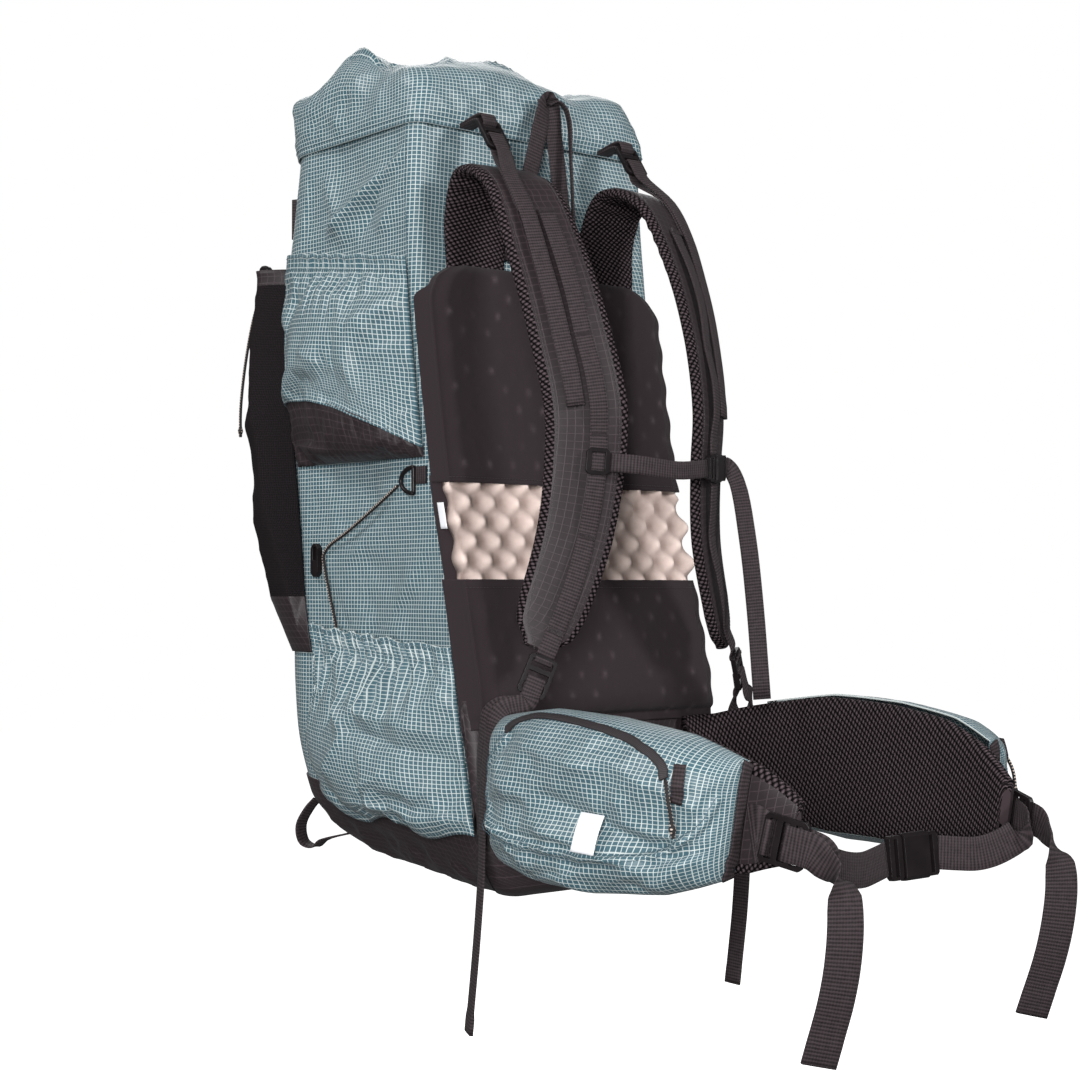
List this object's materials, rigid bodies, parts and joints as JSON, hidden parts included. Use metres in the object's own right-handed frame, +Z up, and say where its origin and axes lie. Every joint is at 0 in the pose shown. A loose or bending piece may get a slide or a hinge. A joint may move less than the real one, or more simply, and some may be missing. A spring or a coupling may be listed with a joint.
{
  "type": "ultralight backpack",
  "caption": "Ultralight roll-top hiking backpack in ripstop cloth with a foam back pad, padded shoulder straps, stretch pockets and a padded hip belt, hung by its haul loop.",
  "frame": {"origin": "top of the haul loop, where the pack hangs", "axes": "+Z up; X across the pack; -Y towards the wearer, so the harness faces -Y; left is -X for someone who looks at the harness"},
  "size_m": [0.4018, 0.7486, 0.8403],
  "materials": {
    "blue_ripstop": "slate-blue ripstop cloth with a pale square grid",
    "black_ripstop": "charcoal ripstop cloth with a faint grid",
    "stretch_cloth": "matt black stretch knit",
    "mesh_cloth": "fine black mesh",
    "foam": "taupe closed-cell foam, satin",
    "webbing": "ribbed brown-black webbing",
    "cord": "black braided cord with pale flecks",
    "black_plastic": "moulded black plastic, satin"
  },
  "bodies": {
    "root": {"main_bag": "blue_ripstop", "roll_top": "blue_ripstop", "bottom_panel": "black_ripstop", "back_pad": "foam", "pad_sleeve_upper": "stretch_cloth", "pad_sleeve_lower": "stretch_cloth", "side_pocket_upper_right": "blue_ripstop", "side_pocket_upper_left": "blue_ripstop", "pocket_gusset_right": "black_ripstop", "pocket_gusset_left": "black_ripstop", "side_pocket_lower_right": "blue_ripstop", "side_pocket_lower_left": "blue_ripstop", "front_pocket": "mesh_cloth", "shoulder_strap_right": "black_ripstop", "shoulder_strap_left": "black_ripstop", "lifter_buckle_right": "black_plastic", "lifter_buckle_left": "black_plastic", "lifter_anchor_right": "webbing", "lifter_anchor_left": "webbing", "load_lifter_right": "webbing", "load_lifter_left": "webbing", "ladder_lock_right": "black_plastic", "ladder_lock_left": "black_plastic", "strap_webbing_right": "webbing", "strap_webbing_left": "webbing", "lower_strap_right": "webbing", "lower_strap_left": "webbing", "sternum_slider": "black_plastic", "sternum_socket": "black_plastic", "sternum_tongue": "black_plastic", "sternum_webbing": "webbing", "sternum_tail": "webbing", "haul_loop": "webbing", "hip_wing_right": "black_ripstop", "hip_wing_left": "black_ripstop", "hip_pocket_right": "blue_ripstop", "hip_pocket_left": "blue_ripstop", "hip_lock_right": "black_plastic", "hip_lock_left": "black_plastic", "hip_tip_right": "webbing", "hip_tip_left": "webbing", "hip_webbing_right": "webbing", "hip_webbing_left": "webbing", "hip_clip_socket": "black_plastic", "hip_clip_tongue": "black_plastic", "zip_pull_right": "cord", "zip_pull_left": "cord", "side_tab_right": "webbing", "side_tab_left": "webbing", "d_ring_right": "black_plastic", "d_ring_left": "black_plastic", "cord_hook_right": "black_plastic", "cord_hook_left": "black_plastic", "compression_cord_right": "cord", "compression_cord_left": "cord", "bottom_loop_right": "webbing", "bottom_loop_left": "webbing", "front_tab": "black_ripstop", "front_cord_lock": "black_plastic", "front_cord": "cord"}
  },
  "joints": []
}
